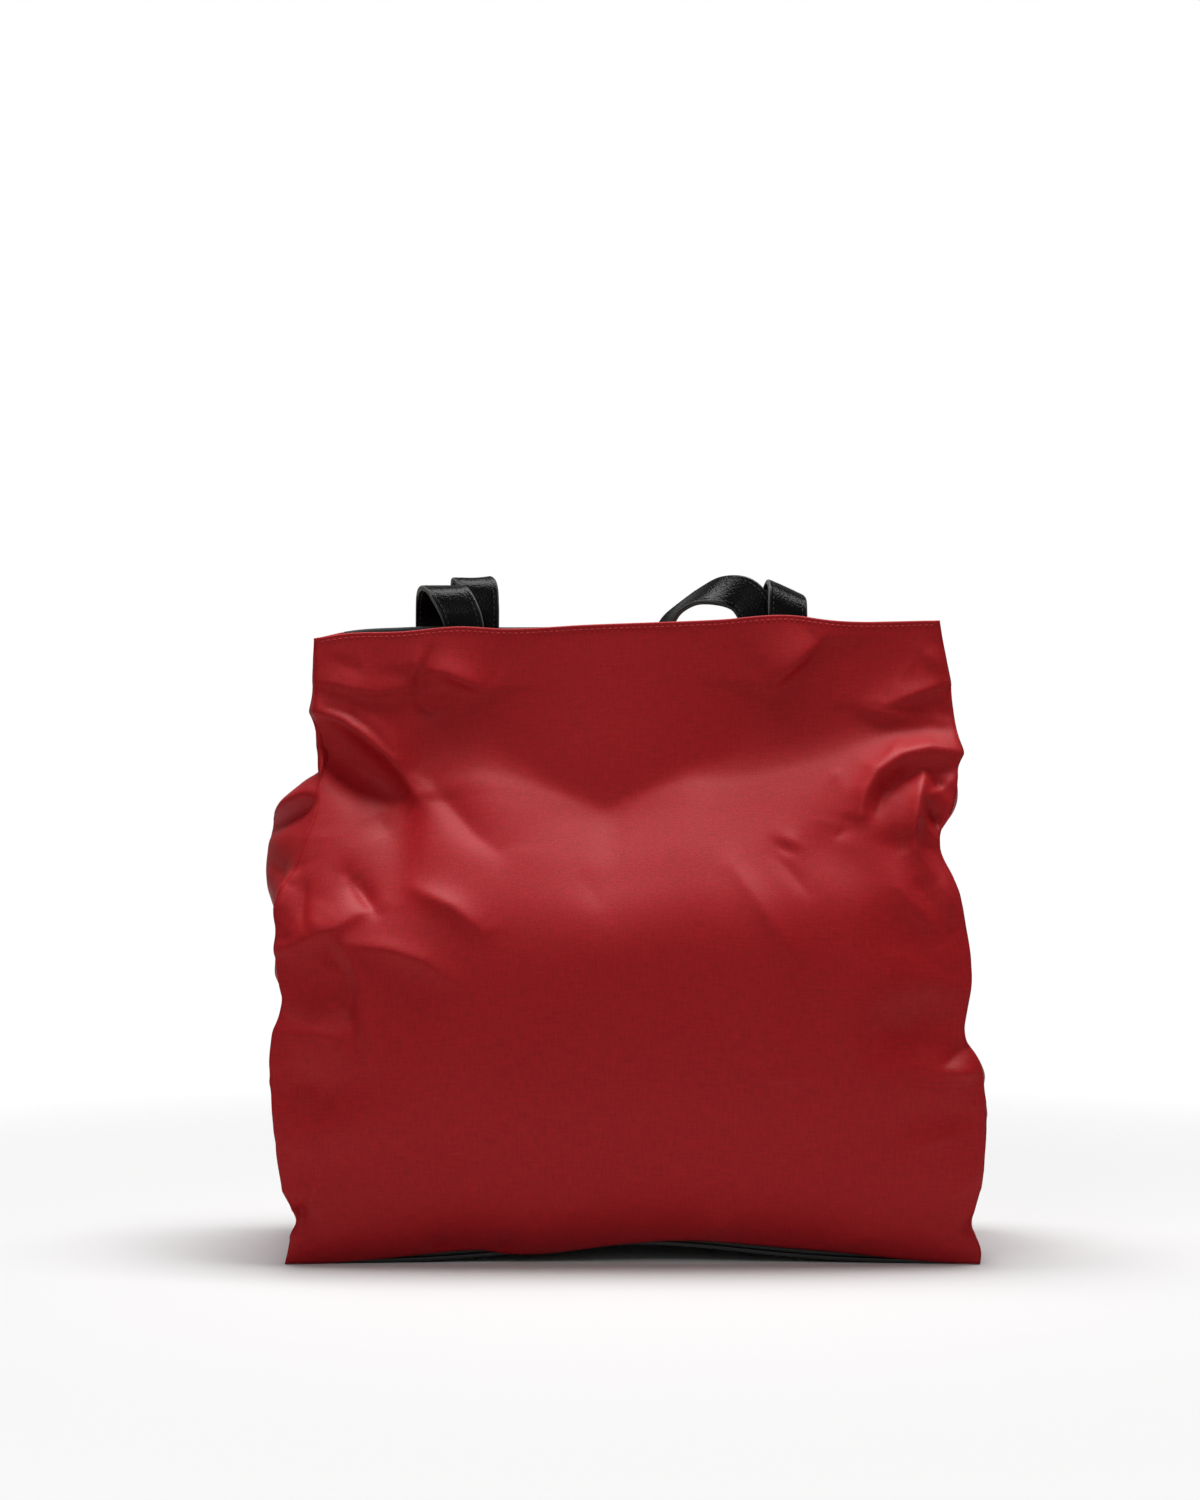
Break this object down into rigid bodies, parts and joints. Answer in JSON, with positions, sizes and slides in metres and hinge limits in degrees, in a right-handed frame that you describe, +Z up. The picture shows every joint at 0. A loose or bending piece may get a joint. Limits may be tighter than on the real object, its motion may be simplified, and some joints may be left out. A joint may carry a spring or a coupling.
{
  "type": "foldable tote bag",
  "caption": "Soft nylon tote with tucked side gussets, a black leather base and two leather strap handles that hang over the mouth behind the bag.",
  "frame": {"origin": "middle of the base's underside, on the surface that the bag stands on", "axes": "+X to the right when facing the front panel, +Y towards the back, +Z up"},
  "size_m": [0.3748, 0.1936, 0.3609],
  "materials": {
    "red_nylon": "satin",
    "base_leather": "satin",
    "strap_leather": "satin",
    "black_facing": "matte",
    "nickel": "polished"
  },
  "bodies": {
    "bag": {"back_panel": "red_nylon", "left_gusset": "red_nylon", "right_gusset": "red_nylon", "base_panel": "base_leather", "base_lining": "black_facing", "base_piping": "base_leather", "back_facing": "black_facing", "back_handle_left_end": "strap_leather", "back_handle_right_end": "strap_leather", "back_anchor_patches": "strap_leather", "snap_stud": "nickel"},
    "front": {"front_panel": "red_nylon", "front_facing": "black_facing", "front_handle_left_end": "strap_leather", "front_handle_right_end": "strap_leather", "front_anchor_patches": "strap_leather", "snap_socket": "nickel"},
    "front_handle": {"front_handle_strap": "strap_leather", "front_handle_backing": "strap_leather"},
    "back_handle": {"back_handle_strap": "strap_leather", "back_handle_backing": "strap_leather"}
  },
  "joints": [
    {"name": "mouth_open", "type": "hinge", "parent": "bag", "child": "front", "pos_m": [0, -0.058, 0.005], "axis": [1, 0, 0], "range_deg": [0, 8], "deforming": ["front_handle_left_end", "front_handle_right_end"]},
    {"name": "front_handle_swing", "type": "hinge", "parent": "bag", "child": "front_handle", "pos_m": [0, 0.008, 0.356], "axis": [1, 0, 0], "range_deg": [0, 160], "deforming": ["front_handle_left_end", "front_handle_right_end"]},
    {"name": "back_handle_swing", "type": "hinge", "parent": "bag", "child": "back_handle", "pos_m": [0, 0.022, 0.358], "axis": [1, 0, 0], "range_deg": [0, 160], "deforming": ["back_handle_left_end", "back_handle_right_end"]}
  ]
}
